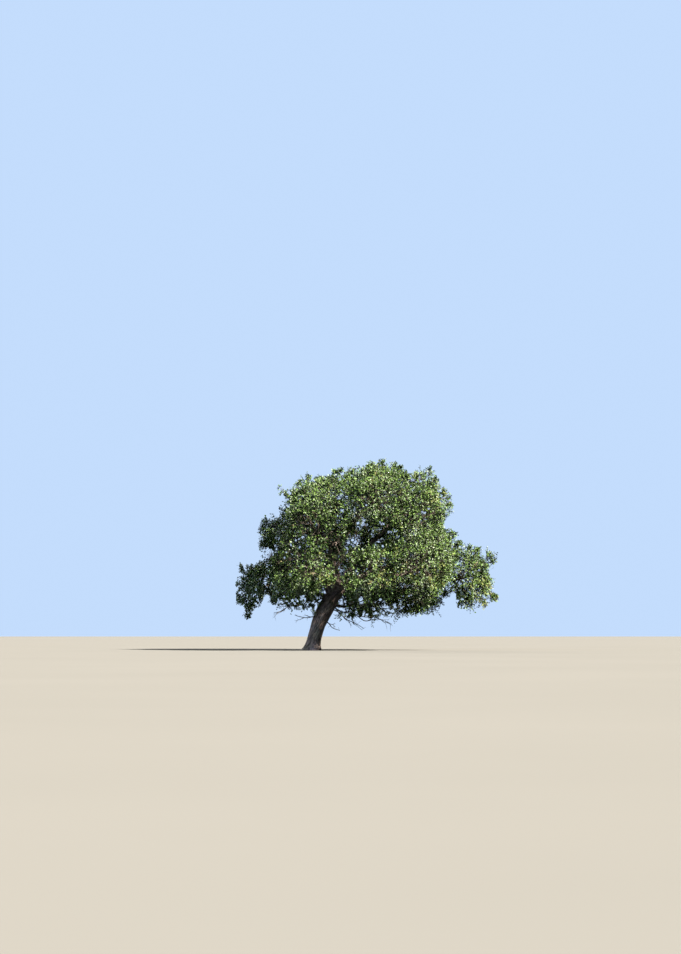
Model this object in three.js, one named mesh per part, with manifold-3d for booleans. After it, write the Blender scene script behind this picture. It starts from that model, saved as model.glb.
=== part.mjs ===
// An old oak that stands alone: a leaning trunk with a root flare, spreading boughs and a wide crown.
// Millimetres. Seen from the front, X runs to the right, the way the trunk leans, Y runs away and Z runs up.
// The origin is the middle of the flat cut under the trunk, at ground level.
import * as THREE from "three";
import { mergeVertices } from "three/addons/utils/BufferGeometryUtils.js";
import Module from "manifold-3d";

const wasm = await Module();
wasm.setup();

const METRE = 1000;
const UP = new THREE.Vector3(0, 0, 1);
const GOLDEN_ANGLE = Math.PI * (3 - Math.sqrt(5));

// The trunk: level rings whose middles lean to the right, with a root flare and a swelling below the fork.
const TRUNK = {
  height: 2780,
  lean: 250,
  bow: 900,
  waistRadius: 300,
  flareRadius: 165,
  flareHeight: 250,
  roots: 3,
  rootRadius: 105,
  rootTurn: Math.PI / 3,
  swelling: 100,
  swellsFrom: 0.22,
  swellsTo: 0.62,
  roundsFrom: 0.88,
  topShare: 0.62,
  sides: 18,
  steps: 10,
  crowding: 1.2,
};

// Boughs: the tip's radius goes with the size of its mass, and the foot's with all that grows on the bough.
const BOUGH = {
  tipShare: 0.05,
  footShare: 0.8,
  taperPower: 0.85,
  crook: 0.05,
  follows: 0.3,
  turnsAt: 0.62,
  rises: 0.16,
  entersAt: 0.78,
  sides: 6,
  stepLength: 740,
};

// Gaps: between two solids that touch on the tree, and round a mass.
const SEAT_GAP = 0.3;
const SEAT_GROWTH = 0.36;
const ROOM_GAP = 40;
const LIMB_CLEARANCE = 25;

// Inside a mass: places are shares of the room from its middle to its edge, and sizes of its mean half size.
const INSIDE = {
  coreShare: 0.85,
  coreRoughness: 0.2,
  stemShare: 0.6,
  stemFoot: 0.95,
  stemTip: 0.7,
  stemSteps: 2,
  twigsPerMetre: 2.75,
  fewestTwigs: 4,
  twigRoot: 0.3,
  twigTip: 0.82,
  twigRadius: 0.026,
  tipLeafAt: 0.7,
  sideLeavesAt: [0.45, 0.57],
  sideLean: 1.15,
  leafLength: 0.54,
  leafWidth: 0.46,
  leafThickness: 0.045,
  leafWidest: 0.4,
  leafTries: [0.99, 0.8],
};
// Metres. The first twig of each mass points straight away from here, so the crown's furthest tips are reached.
const CROWN_MIDDLE = [2.2, 0, 4.4];
const TWIG_SIDES = 3;
const FEWEST_STEPS = 3;

// Vertices nearer than this are one, and edges whose removal moves the surface by less than a sliver go.
const WELD = 0.001;
const SLIVER = 0.05;

// Where each use of the seeded numbers starts, so that no two uses share one.
const DRAWS = { crook: [0, 40, 80], core: 200, tipLeaf: 300, side: 400, sideLeaf: 500, nextSideLeaf: 20 };
const BARE_SEED = 61;

// The masses of foliage: the middle of each and its half width, half depth and half height, in metres, then
// the limb that its bough leaves and how far along. A mass comes after the limb that it hangs on.
const MASSES = {
  top_left: { at: [0.95, 0.3, 6.85], half: [1.4, 1.7, 1.1], from: "trunk", along: 0.85 },
  top_right: { at: [4.85, 0.2, 6.8], half: [1, 1.5, 1.35], from: "trunk", along: 0.97 },
  right_arm: { at: [7, 0, 3.25], half: [1.1, 1.4, 1.45], from: "trunk", along: 0.94 },
  left_middle: { at: [-1.35, 0.2, 5.1], half: [1.15, 1.4, 0.95], from: "trunk", along: 0.8 },
  front_middle: { at: [2.4, -2.6, 3.35], half: [1.7, 2, 1.25], from: "trunk", along: 0.86 },
  back_middle: { at: [2.2, 2.8, 3.4], half: [1.7, 2, 1.25], from: "trunk", along: 0.87 },
  left_low: { at: [-0.7, -0.2, 3.15], half: [1.45, 1.5, 1.3], from: "trunk", along: 0.75 },
  middle_low: { at: [2.35, 0.2, 2.2], half: [1.55, 1.6, 0.8], from: "trunk", along: 0.62 },
  top_centre: { at: [3, 0, 7.1], half: [1.6, 1.8, 1.35], from: "top_left", along: 0.5 },
  shoulder_left: { at: [-0.15, -0.6, 6.35], half: [1.25, 1.6, 1.15], from: "top_left", along: 0.6 },
  front_high_left: { at: [0.2, -2.2, 5.4], half: [1.5, 1.8, 1.5], from: "top_left", along: 0.42 },
  back_high_left: { at: [0.2, 2.5, 5.5], half: [1.6, 1.8, 1.5], from: "top_left", along: 0.46 },
  heart: { at: [0.2, 0.4, 4.8], half: [1.3, 1.5, 1.2], from: "top_left", along: 0.22 },
  centre: { at: [2.35, 0.9, 5], half: [1.25, 1.4, 0.9], from: "top_left", along: 0.32 },
  left_arm: { at: [-2.25, 0, 3.1], half: [1.2, 1.3, 0.95], from: "left_middle", along: 0.6 },
  left_tail: { at: [-2.9, 0.1, 2.15], half: [0.34, 0.5, 0.75], from: "left_arm", along: 0.45 },
  front_left: { at: [-0.5, -2.5, 3.7], half: [1.5, 1.7, 1.2], from: "front_middle", along: 0.3 },
  back_left: { at: [-0.5, 2.6, 3.7], half: [1.5, 1.7, 1.3], from: "back_middle", along: 0.34 },
  right_middle: { at: [4.6, 0.3, 4.5], half: [1.5, 1.6, 1.35], from: "top_right", along: 0.4 },
  right_low: { at: [4.6, 0.3, 2.5], half: [1.35, 1.6, 0.93], from: "right_arm", along: 0.13 },
  front_right: { at: [4.7, -2.3, 3.75], half: [1.65, 1.9, 1.45], from: "right_arm", along: 0.32 },
  back_right: { at: [4.7, 2.6, 3.7], half: [1.65, 1.9, 1.45], from: "right_arm", along: 0.36 },
  right_shoulder: { at: [5.35, -0.1, 4.6], half: [1.05, 1.5, 0.95], from: "right_arm", along: 0.6 },
  front_high: { at: [2.8, -2.3, 6.55], half: [1.6, 1.7, 1.1], from: "top_centre", along: 0.4 },
  back_high: { at: [2.8, 2.6, 6.6], half: [1.7, 1.7, 1.2], from: "top_centre", along: 0.45 },
  front_high_right: { at: [4.65, -2.1, 6], half: [1.4, 1.6, 1.2], from: "top_right", along: 0.62 },
  back_high_right: { at: [4.5, 2.4, 5.8], half: [1.45, 1.7, 1.25], from: "top_right", along: 0.66 },
};

// Bare dead branches under the crown: the limb that each leaves, how far along, its tip in metres, and how
// many shorter branches fork from it.
const BARE_BRANCHES = {
  bare_left: { from: "trunk", along: 0.53, tip: [-0.8, -0.4, 1.55], forks: 2 },
  bare_left_low: { from: "left_low", along: 0.45, tip: [-1.72, -0.75, 1.66], forks: 3 },
  bare_right: { from: "trunk", along: 0.45, tip: [1.2, -0.4, 0.88], forks: 1 },
  bare_middle: { from: "middle_low", along: 0.5, tip: [3.5, -0.7, 1.16], forks: 3 },
  bare_middle_low: { from: "middle_low", along: 0.2, tip: [2.25, -0.5, 0.98], forks: 2 },
};
const BARE = {
  radius: 30,
  tipShare: 0.35,
  crook: 0.08,
  follows: 0.3,
  turnsAt: 0.62,
  rises: -0.06,
  forksFrom: 0.42,
  forksOver: 0.5,
  forkShare: 0.34,
  forkRadius: 0.6,
  spread: 0.7,
  stepLength: 450,
};

// A number from 0 to 1 that looks random and is the same each time.
function seeded(seed, i) {
  const x = Math.sin(seed * 12.9898 + i * 78.233) * 43758.5453;
  return x - Math.floor(x);
}

function metres(numbers) {
  return new THREE.Vector3(...numbers).multiplyScalar(METRE);
}

function meanHalf(name) {
  const [x, y, z] = MASSES[name].half;
  return ((x + y + z) / 3) * METRE;
}

// From 0 to 1 as t goes from one value to the other.
function smoothstep(t, from, to) {
  const u = Math.min(1, Math.max(0, (t - from) / (to - from)));
  return u * u * (3 - 2 * u);
}

// Even directions on a sphere, turned by the seed. With no step before the first, that one points straight up.
function direction(i, count, seed, firstStep = 0.5) {
  const z = 1 - (2 * (i + firstStep)) / count;
  const flat = Math.sqrt(1 - z * z);
  const turn = i * GOLDEN_ANGLE + seed;
  return new THREE.Vector3(flat * Math.cos(turn), flat * Math.sin(turn), z);
}

// A unit vector square to a way, turned round it by an angle.
function sideways(way, spin) {
  const across = Math.abs(way.z) < 0.9 ? new THREE.Vector3(0, 0, 1) : new THREE.Vector3(1, 0, 0);
  return across.cross(way).normalize().applyAxisAngle(way, spin);
}

// A closed geometry as a solid, and a solid as a geometry.
function solidOf(geometry) {
  const bare = geometry.clone();
  bare.deleteAttribute("normal");
  bare.deleteAttribute("uv");
  const merged = mergeVertices(bare, WELD);
  const vertProperties = merged.attributes.position.array;
  const triVerts = new Uint32Array(merged.index.array);
  return new wasm.Manifold(new wasm.Mesh({ numProp: 3, vertProperties, triVerts }));
}

function geometryOf(solid) {
  const { vertProperties, triVerts } = solid.getMesh();
  const geometry = new THREE.BufferGeometry();
  geometry.setAttribute("position", new THREE.BufferAttribute(vertProperties, 3));
  geometry.setIndex(new THREE.BufferAttribute(triVerts, 1));
  return geometry.toNonIndexed();
}

// The largest body of a solid: loose scraps are dropped.
function mainBody(solid) {
  return solid.decompose().reduce((a, b) => (a.volume() > b.volume() ? a : b));
}

function union(solids) {
  return wasm.Manifold.union(solids);
}

// A cylinder whose vertices are moved: place(row, turn, share) says where each goes, with share 1 on the wall
// and 0 in the middle of an end.
function ringed(sides, steps, place) {
  const geometry = new THREE.CylinderGeometry(1, 1, 1, sides, steps);
  const at = geometry.attributes.position;
  for (let i = 0; i < at.count; i++) {
    const [x, y, z] = [at.getX(i), at.getY(i), at.getZ(i)];
    const share = Math.round(Math.hypot(x, z));
    const column = (Math.round((Math.atan2(x, z) / (2 * Math.PI)) * sides) + sides) % sides;
    const moved = place(Math.round((y + 0.5) * steps), (column / sides) * 2 * Math.PI, share);
    at.setXYZ(i, moved.x, moved.y, moved.z);
  }
  return geometry;
}

// The trunk's middle line as a curve that limbs can leave.
class TrunkCurve extends THREE.Curve {
  getPoint(t) {
    return new THREE.Vector3(TRUNK.lean * t + TRUNK.bow * t * t, 0, TRUNK.height * t);
  }
}

function trunkRadius(t, turn = 0) {
  const foot = Math.exp((-t * TRUNK.height) / TRUNK.flareHeight);
  const root = Math.cos(TRUNK.roots * (turn + TRUNK.rootTurn));
  const flare = (TRUNK.flareRadius + TRUNK.rootRadius * root) * foot;
  const swelling = TRUNK.swelling * smoothstep(t, TRUNK.swellsFrom, TRUNK.swellsTo);
  const rounding = 1 - (1 - TRUNK.topShare) * smoothstep(t, TRUNK.roundsFrom, 1);
  return (TRUNK.waistRadius + flare + swelling) * rounding;
}

// The trunk as level rings, closer together towards the foot.
function trunkSolid(growth = 0) {
  const curve = new TrunkCurve();
  const geometry = ringed(TRUNK.sides, TRUNK.steps, (row, turn, share) => {
    const t = (row / TRUNK.steps) ** TRUNK.crowding;
    const radius = share * (trunkRadius(t, turn) + growth);
    const top = row === TRUNK.steps ? growth : 0;
    const out = new THREE.Vector3(radius * Math.cos(turn), radius * Math.sin(turn), top);
    return curve.getPoint(t).add(out);
  });
  return solidOf(geometry);
}

// A round limb along its curve. Growth makes it that much fatter and longer, to clear a way for it.
function limbSolid(limb, growth = 0) {
  const { curve, radiusAt, sides, steps } = limb;
  const frames = curve.computeFrenetFrames(steps);
  const middles = frames.tangents.map((tangent, i) => curve.getPointAt(i / steps));
  middles[0].addScaledVector(frames.tangents[0], -growth);
  middles[steps].addScaledVector(frames.tangents[steps], growth);
  const geometry = ringed(sides, steps, (row, turn, share) => {
    const radius = share * (radiusAt(row / steps) + growth);
    return middles[row]
      .clone()
      .addScaledVector(frames.normals[row], radius * Math.cos(turn))
      .addScaledVector(frames.binormals[row], radius * Math.sin(turn));
  });
  return solidOf(geometry);
}

// A crooked way from one point to another, which starts out along the limb that it leaves.
function crookedCurve(from, to, leaving, { follows, turnsAt, rises, crook, stepLength }, seed) {
  const length = from.distanceTo(to);
  const bezier = new THREE.CubicBezierCurve3(
    from,
    from.clone().addScaledVector(leaving, follows * length),
    from.clone().lerp(to, turnsAt).addScaledVector(UP, rises * length),
    to,
  );
  const steps = Math.max(FEWEST_STEPS, Math.round(length / stepLength));
  const points = bezier.getSpacedPoints(steps).map((point, i) => {
    const swing = crook * length * Math.sin((Math.PI * i) / steps);
    const side = new THREE.Vector3(...DRAWS.crook.map((draw) => 2 * seeded(seed, i + draw) - 1));
    return point.addScaledVector(side, swing);
  });
  return { curve: new THREE.CatmullRomCurve3(points, false, "centripetal"), steps };
}

// The space that a mass keeps to: an ellipsoid, cut off by a plane between it and each neighbour.
function spaceOf(name) {
  const middle = metres(MASSES[name].at);
  const half = metres(MASSES[name].half);
  const cuts = [];
  for (const [other, { at, half: otherHalf }] of Object.entries(MASSES)) {
    if (other === name) continue;
    const away = metres(at).sub(middle);
    const distance = away.length();
    away.normalize();
    const mine = away.clone().multiply(half).length();
    const theirs = away.clone().multiply(metres(otherHalf)).length();
    if (mine + theirs > distance) {
      cuts.push({ away, limit: (distance * mine) / (mine + theirs) - ROOM_GAP / 2 });
    }
  }
  return { middle, half, cuts };
}

// How far it is from a point in a space to its edge.
function roomFrom(space, point, way) {
  const p = point.clone().sub(space.middle);
  const scaled = p.clone().divide(space.half);
  const step = way.clone().divide(space.half);
  const a = step.dot(step);
  const b = scaled.dot(step);
  const c = scaled.dot(scaled) - 1;
  let room = (-b + Math.sqrt(Math.max(0, b * b - a * c))) / a;
  for (const { away, limit } of space.cuts) {
    const speed = way.dot(away);
    if (speed > 0) room = Math.min(room, (limit - p.dot(away)) / speed);
  }
  return Math.max(0, room);
}

function isInside(space, point) {
  const p = point.clone().sub(space.middle);
  const inEllipsoid = p.clone().divide(space.half).length() <= 1;
  return inEllipsoid && space.cuts.every(({ away, limit }) => p.dot(away) <= limit);
}

const SPACES = Object.fromEntries(Object.keys(MASSES).map((name) => [name, spaceOf(name)]));

// The square of a bough's radius at its foot: that of its tip, and of all that it carries.
function footSquare(name) {
  const carried = Object.keys(MASSES).filter((other) => MASSES[other].from === name);
  return carried.reduce((sum, other) => sum + footSquare(other), (BOUGH.tipShare * meanHalf(name)) ** 2);
}

// The limb that carries a mass: it leaves its parent and ends where it enters the mass.
function boughOf(name, limbs, seed) {
  const { from, along } = MASSES[name];
  const parent = limbs[from].curve;
  const start = parent.getPointAt(along);
  const space = SPACES[name];
  const back = start.clone().sub(space.middle).normalize();
  const room = roomFrom(space, space.middle, back);
  const end = space.middle.clone().addScaledVector(back, BOUGH.entersAt * room);
  const leaving = parent.getTangentAt(along).add(end.clone().sub(start).normalize()).normalize();
  const { curve, steps } = crookedCurve(start, end, leaving, BOUGH, seed);
  const foot = Math.min(Math.sqrt(footSquare(name)), BOUGH.footShare * limbs[from].radiusAt(along));
  const tip = BOUGH.tipShare * meanHalf(name);
  const radiusAt = (t) => foot + (tip - foot) * t ** BOUGH.taperPower;
  return { curve, radiusAt, sides: BOUGH.sides, steps, tip };
}

// A bare dead branch, with shorter ones that fork from it.
function bareLimbs(name, limbs, seed) {
  const { from, along, tip, forks } = BARE_BRANCHES[name];
  const parent = limbs[from].curve;
  const start = parent.getPointAt(along);
  const end = metres(tip);
  const way = end.clone().sub(start).normalize();
  const main = crookedCurve(start, end, way, BARE, seed);
  const taper = (radius) => (t) => radius * (1 - (1 - BARE.tipShare) * t);
  const branches = [{ ...main, radiusAt: taper(BARE.radius), sides: TWIG_SIDES }];
  const length = start.distanceTo(end);
  for (let i = 0; i < forks; i++) {
    const t = BARE.forksFrom + (BARE.forksOver * i) / forks;
    const root = main.curve.getPointAt(t);
    const side = direction(i, forks, seed).multiplyScalar(BARE.spread);
    const out = main.curve.getTangentAt(t).add(side).normalize();
    const twigEnd = root.clone().addScaledVector(out, BARE.forkShare * length);
    const twig = crookedCurve(root, twigEnd, out, BARE, seed + i + 1);
    branches.push({ ...twig, radiusAt: taper(BARE.forkRadius * BARE.radius), sides: TWIG_SIDES });
  }
  return branches;
}

// A leaf blade that stands for a spray: a flat kite, thick along its midrib, with its root at the start.
function leafGeometry(root, way, turn, length) {
  const width = (length * INSIDE.leafWidth) / INSIDE.leafLength;
  const thickness = (length * INSIDE.leafThickness) / INSIDE.leafLength;
  const geometry = new THREE.OctahedronGeometry(1);
  const at = geometry.attributes.position;
  for (let i = 0; i < at.count; i++) {
    const y = Math.round(at.getY(i));
    const along = y === 0 ? INSIDE.leafWidest : (y + 1) / 2;
    at.setXYZ(i, (at.getX(i) * width) / 2, along * length, (at.getZ(i) * thickness) / 2);
  }
  geometry.rotateY(turn);
  geometry.applyQuaternion(new THREE.Quaternion().setFromUnitVectors(new THREE.Vector3(0, 1, 0), way));
  return geometry.translate(...root);
}

// A straight three-sided twig that tapers to a point.
function twigGeometry(from, to, radius) {
  const way = to.clone().sub(from);
  const geometry = new THREE.ConeGeometry(radius, way.length(), TWIG_SIDES, 1);
  geometry.translate(0, way.length() / 2, 0);
  const turn = new THREE.Quaternion().setFromUnitVectors(new THREE.Vector3(0, 1, 0), way.normalize());
  return geometry.applyQuaternion(turn).translate(...from);
}

// The core that a dense mass's leaves stand out of: lumpy, and smaller than the space.
function coreSolid(space, seed) {
  const geometry = mergeVertices(bareIcosphere(), WELD);
  const at = geometry.attributes.position;
  for (let i = 0; i < at.count; i++) {
    const way = new THREE.Vector3().fromBufferAttribute(at, i).normalize();
    const share = INSIDE.coreShare - INSIDE.coreRoughness * seeded(seed, i + DRAWS.core);
    const moved = space.middle.clone().addScaledVector(way, share * roomFrom(space, space.middle, way));
    at.setXYZ(i, moved.x, moved.y, moved.z);
  }
  return solidOf(geometry);
}

function bareIcosphere() {
  const geometry = new THREE.IcosahedronGeometry(1, 1);
  geometry.deleteAttribute("normal");
  geometry.deleteAttribute("uv");
  return geometry;
}

function staysInside(space, geometry) {
  const at = geometry.attributes.position;
  for (let i = 0; i < at.count; i++) {
    if (!isInside(space, new THREE.Vector3().fromBufferAttribute(at, i))) return false;
  }
  return true;
}

// The stem of a mass: it faces its bough's tip across the seat's gap, and bends towards the mass's middle.
function stemSolid(space, bough) {
  const tangent = bough.curve.getTangentAt(1);
  const start = bough.curve.getPointAt(1).addScaledVector(tangent, SEAT_GAP);
  const end = start.clone().lerp(space.middle, INSIDE.stemShare);
  const bend = start.clone().addScaledVector(tangent, start.distanceTo(end) / 2);
  const curve = new THREE.QuadraticBezierCurve3(start, bend, end);
  const radiusAt = (t) => bough.tip * THREE.MathUtils.lerp(INSIDE.stemFoot, INSIDE.stemTip, t);
  return limbSolid({ curve, radiusAt, sides: BOUGH.sides, steps: INSIDE.stemSteps });
}

// A mass of foliage: a stem that meets its bough's tip, a core, and twigs that end in sprays of leaves.
function foliageSolid(name, bough, limbRoom, seats, seed) {
  const space = SPACES[name];
  const size = meanHalf(name);
  const stem = stemSolid(space, bough);
  const parts = [];
  const add = (geometry) => {
    if (!staysInside(space, geometry)) return false;
    const solid = solidOf(geometry);
    if (!solid.intersect(limbRoom).isEmpty()) return false;
    parts.push(solid);
    return true;
  };
  // A leaf that would leave the space or touch a limb is tried shorter, and then skipped.
  const addLeaf = (root, out, turn) => {
    const length = Math.min(INSIDE.leafLength * size, roomFrom(space, root, out));
    INSIDE.leafTries.some((share) => add(leafGeometry(root, out, turn, share * length)));
  };
  const outward = space.middle.clone().sub(metres(CROWN_MIDDLE)).normalize();
  const turn = new THREE.Quaternion().setFromUnitVectors(UP, outward);
  const twigs = Math.max(INSIDE.fewestTwigs, Math.round((INSIDE.twigsPerMetre * size) / METRE));
  for (let i = 0; i < twigs; i++) {
    const way = direction(i, twigs, seed, 0).applyQuaternion(turn);
    const room = roomFrom(space, space.middle, way);
    const along = (share) => space.middle.clone().addScaledVector(way, share * room);
    add(twigGeometry(along(INSIDE.twigRoot), along(INSIDE.twigTip), INSIDE.twigRadius * size));
    addLeaf(along(INSIDE.tipLeafAt), way, Math.PI * seeded(seed, i + DRAWS.tipLeaf));
    INSIDE.sideLeavesAt.forEach((share, j) => {
      const spin = Math.PI * (j + seeded(seed, i + DRAWS.side));
      const out = way.clone().addScaledVector(sideways(way, spin), INSIDE.sideLean).normalize();
      const draw = DRAWS.sideLeaf + DRAWS.nextSideLeaf * j;
      addLeaf(along(share), out, Math.PI * seeded(seed, i + draw));
    });
  }
  const core = coreSolid(space, seed).subtract(limbRoom);
  return mainBody(union([core, stem, ...parts]).subtract(seats).simplify(SLIVER));
}

const BARK = new THREE.MeshStandardMaterial({ color: 0x5a4b40, roughness: 0.95, metalness: 0 });
const LEAVES = new THREE.MeshStandardMaterial({ color: 0x5c7238, roughness: 0.65, metalness: 0 });
const DEAD_WOOD = new THREE.MeshStandardMaterial({ color: 0x75695e, roughness: 0.95, metalness: 0 });

function mesh(name, solid, material) {
  const made = new THREE.Mesh(geometryOf(solid), material);
  made.name = name;
  return made;
}

// The whole tree: the trunk, then each limb cut clear of the ones before it, then the masses round the limbs.
function oakTree() {
  const tree = new THREE.Group();
  const limbs = { trunk: { curve: new TrunkCurve(), radiusAt: trunkRadius } };
  tree.add(mesh("trunk", trunkSolid(), BARK));
  let seats = trunkSolid(SEAT_GROWTH);
  let room = trunkSolid(LIMB_CLEARANCE);
  Object.keys(MASSES).forEach((name, i) => {
    const limb = boughOf(name, limbs, i + 1);
    limbs[name] = limb;
    tree.add(mesh(`${name}_bough`, mainBody(limbSolid(limb).subtract(seats).simplify(SLIVER)), BARK));
    seats = seats.add(limbSolid(limb, SEAT_GROWTH));
    room = room.add(limbSolid(limb, LIMB_CLEARANCE));
  });
  Object.keys(BARE_BRANCHES).forEach((name, i) => {
    const branches = bareLimbs(name, limbs, BARE_SEED + i);
    const solid = union(branches.map((branch) => limbSolid(branch)));
    tree.add(mesh(name, mainBody(solid.subtract(seats).simplify(SLIVER)), DEAD_WOOD));
    seats = seats.add(union(branches.map((branch) => limbSolid(branch, SEAT_GROWTH))));
    room = room.add(union(branches.map((branch) => limbSolid(branch, LIMB_CLEARANCE))));
  });
  Object.keys(MASSES).forEach((name, i) => {
    tree.add(mesh(`${name}_foliage`, foliageSolid(name, limbs[name], room, seats, i + 1), LEAVES));
  });
  return tree;
}

export default oakTree();
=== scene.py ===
"""An old oak that stands alone: a leaning trunk with a root flare, crooked boughs and a wide leafy crown.

Metres, in the model's frame: X runs to the right, Y runs away and Z runs up from the foot of the trunk.
The limbs follow the model's own rule, written again here, and the crown grows on from their tips: each mass
of foliage holds clumps, each clump holds sprays, and each spray holds leaves.
"""

import itertools
from types import SimpleNamespace as Values

import bpy
import numpy as np
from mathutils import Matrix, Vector


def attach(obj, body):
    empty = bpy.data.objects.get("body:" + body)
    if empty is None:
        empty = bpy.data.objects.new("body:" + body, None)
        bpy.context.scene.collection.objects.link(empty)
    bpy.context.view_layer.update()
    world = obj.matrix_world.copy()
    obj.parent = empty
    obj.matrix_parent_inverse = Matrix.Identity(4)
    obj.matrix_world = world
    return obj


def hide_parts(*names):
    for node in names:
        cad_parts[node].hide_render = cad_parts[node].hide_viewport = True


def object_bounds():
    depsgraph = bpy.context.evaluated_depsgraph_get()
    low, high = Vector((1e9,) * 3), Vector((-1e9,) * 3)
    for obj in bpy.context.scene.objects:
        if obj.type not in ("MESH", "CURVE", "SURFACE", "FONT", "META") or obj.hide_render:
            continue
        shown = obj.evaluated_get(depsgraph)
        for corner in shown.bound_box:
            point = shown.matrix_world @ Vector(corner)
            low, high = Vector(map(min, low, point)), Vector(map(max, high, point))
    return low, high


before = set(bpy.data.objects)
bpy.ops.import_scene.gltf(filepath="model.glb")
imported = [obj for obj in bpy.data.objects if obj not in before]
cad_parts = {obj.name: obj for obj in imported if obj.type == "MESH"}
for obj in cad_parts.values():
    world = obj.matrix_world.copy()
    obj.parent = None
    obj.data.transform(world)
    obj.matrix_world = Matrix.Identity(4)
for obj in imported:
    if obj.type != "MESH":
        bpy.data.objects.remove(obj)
CAD_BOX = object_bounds()

SIDEWAYS, BACKWARD, UP = np.eye(3)
GOLDEN_ANGLE = np.pi * (3 - np.sqrt(5))
# From this share of UP a way counts as upright, and a speed below TINY counts as none.
STEEP, TINY = 0.9, 1e-6
# What the seeded numbers are made with, and how far apart they are taken for the three axes.
HASH_TURNS, HASH_SCALE, AXIS_SHIFTS = np.array([12.9898, 78.233, 37.719]), 43758.5453, (0, 40, 80)
# Ways: fine shares along one, the share that a tangent looks to each side, and the fewest swings.
FINE_SHARES, TANGENT_STEP, FEWEST_SWINGS = np.linspace(0, 1, 201), 0.01, 3
# The sockets of a mix node that mixes colours.
MIX = Values(share=0, first=6, second=7, result=2)

# The view: a long lens, low down in front of the tree.
CAMERA = Values(lens=70, sensor=36, at=(1.232, -83.0, 0.7), aims_at=(1.232, 0.0, 7.75), far=2000)
# The lights: the energy of each, its width in degrees, its colour and the way that it shines. The sun comes
# from the upper right in front, and the others soften the shade on the left and show the back.
LIGHTS = {
    "sun": (29.0, 2, (1.0, 0.96, 0.88), (-0.75, 0.6, -0.65)),
    "side_light": (2.2, 60, (0.55, 0.74, 1.0), (0.8, 0.45, -0.35)),
    "back_light": (3.5, 40, (1.0, 0.95, 0.88), (0.35, -0.85, -0.5)),
}
SKY = Values(lights=(0.08, 0.108, 0.125, 1), shows=(0.55, 0.72, 0.98, 1))
FLOOR = Values(half=600, below=0.002, mottle=0.15)
FLOOR_COLOURS = (0.118, 0.112, 0.101), (0.132, 0.125, 0.113)

# The trunk: level rings whose middles lean to the right, with a root flare and a swelling below the fork.
TRUNK = Values(
    height=2.78, lean=0.25, bow=0.9, waist=0.3, flare=0.165, flare_height=0.25, roots=3, root=0.105,
    root_turn=np.pi / 3, swelling=0.1, swells=(0.22, 0.62), rounds=0.88, top_share=0.62, columns=132,
    rows=110, seed=11,
)

# Boughs: the tip's radius goes with the size of its mass, and the foot's with all that grows on the bough.
BOUGH = Values(
    tip_share=0.05, foot_share=0.8, taper_power=0.85, crook=0.05, follows=0.3, turns_at=0.62, rises=0.16,
    enters_at=0.78, step=0.74, stem_share=0.6,
)
# The gap between the spaces of two masses that meet.
ROOM_GAP = 0.04

# The masses of foliage: the middle and half sizes of each, the limb that its bough leaves, how far along.
MASSES = {
    "top_left": ((0.95, 0.3, 6.85), (1.4, 1.7, 1.1), "trunk", 0.85),
    "top_right": ((4.85, 0.2, 6.8), (1.0, 1.5, 1.35), "trunk", 0.97),
    "right_arm": ((7.0, 0.0, 3.25), (1.1, 1.4, 1.45), "trunk", 0.94),
    "left_middle": ((-1.35, 0.2, 5.1), (1.15, 1.4, 0.95), "trunk", 0.8),
    "front_middle": ((2.4, -2.6, 3.35), (1.7, 2.0, 1.25), "trunk", 0.86),
    "back_middle": ((2.2, 2.8, 3.4), (1.7, 2.0, 1.25), "trunk", 0.87),
    "left_low": ((-0.7, -0.2, 3.15), (1.45, 1.5, 1.3), "trunk", 0.75),
    "middle_low": ((2.35, 0.2, 2.2), (1.55, 1.6, 0.8), "trunk", 0.62),
    "top_centre": ((3.0, 0.0, 7.1), (1.6, 1.8, 1.35), "top_left", 0.5),
    "shoulder_left": ((-0.15, -0.6, 6.35), (1.25, 1.6, 1.15), "top_left", 0.6),
    "front_high_left": ((0.2, -2.2, 5.4), (1.5, 1.8, 1.5), "top_left", 0.42),
    "back_high_left": ((0.2, 2.5, 5.5), (1.6, 1.8, 1.5), "top_left", 0.46),
    "heart": ((0.2, 0.4, 4.8), (1.3, 1.5, 1.2), "top_left", 0.22),
    "centre": ((2.35, 0.9, 5.0), (1.25, 1.4, 0.9), "top_left", 0.32),
    "left_arm": ((-2.25, 0.0, 3.1), (1.2, 1.3, 0.95), "left_middle", 0.6),
    "left_tail": ((-2.9, 0.1, 2.15), (0.34, 0.5, 0.75), "left_arm", 0.45),
    "front_left": ((-0.5, -2.5, 3.7), (1.5, 1.7, 1.2), "front_middle", 0.3),
    "back_left": ((-0.5, 2.6, 3.7), (1.5, 1.7, 1.3), "back_middle", 0.34),
    "right_middle": ((4.6, 0.3, 4.5), (1.5, 1.6, 1.35), "top_right", 0.4),
    "right_low": ((4.6, 0.3, 2.5), (1.35, 1.6, 0.93), "right_arm", 0.13),
    "front_right": ((4.7, -2.3, 3.75), (1.65, 1.9, 1.45), "right_arm", 0.32),
    "back_right": ((4.7, 2.6, 3.7), (1.65, 1.9, 1.45), "right_arm", 0.36),
    "right_shoulder": ((5.35, -0.1, 4.6), (1.05, 1.5, 0.95), "right_arm", 0.6),
    "front_high": ((2.8, -2.3, 6.55), (1.6, 1.7, 1.1), "top_centre", 0.4),
    "back_high": ((2.8, 2.6, 6.6), (1.7, 1.7, 1.2), "top_centre", 0.45),
    "front_high_right": ((4.65, -2.1, 6.0), (1.4, 1.6, 1.2), "top_right", 0.62),
    "back_high_right": ((4.5, 2.4, 5.8), (1.45, 1.7, 1.25), "top_right", 0.66),
}

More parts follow.
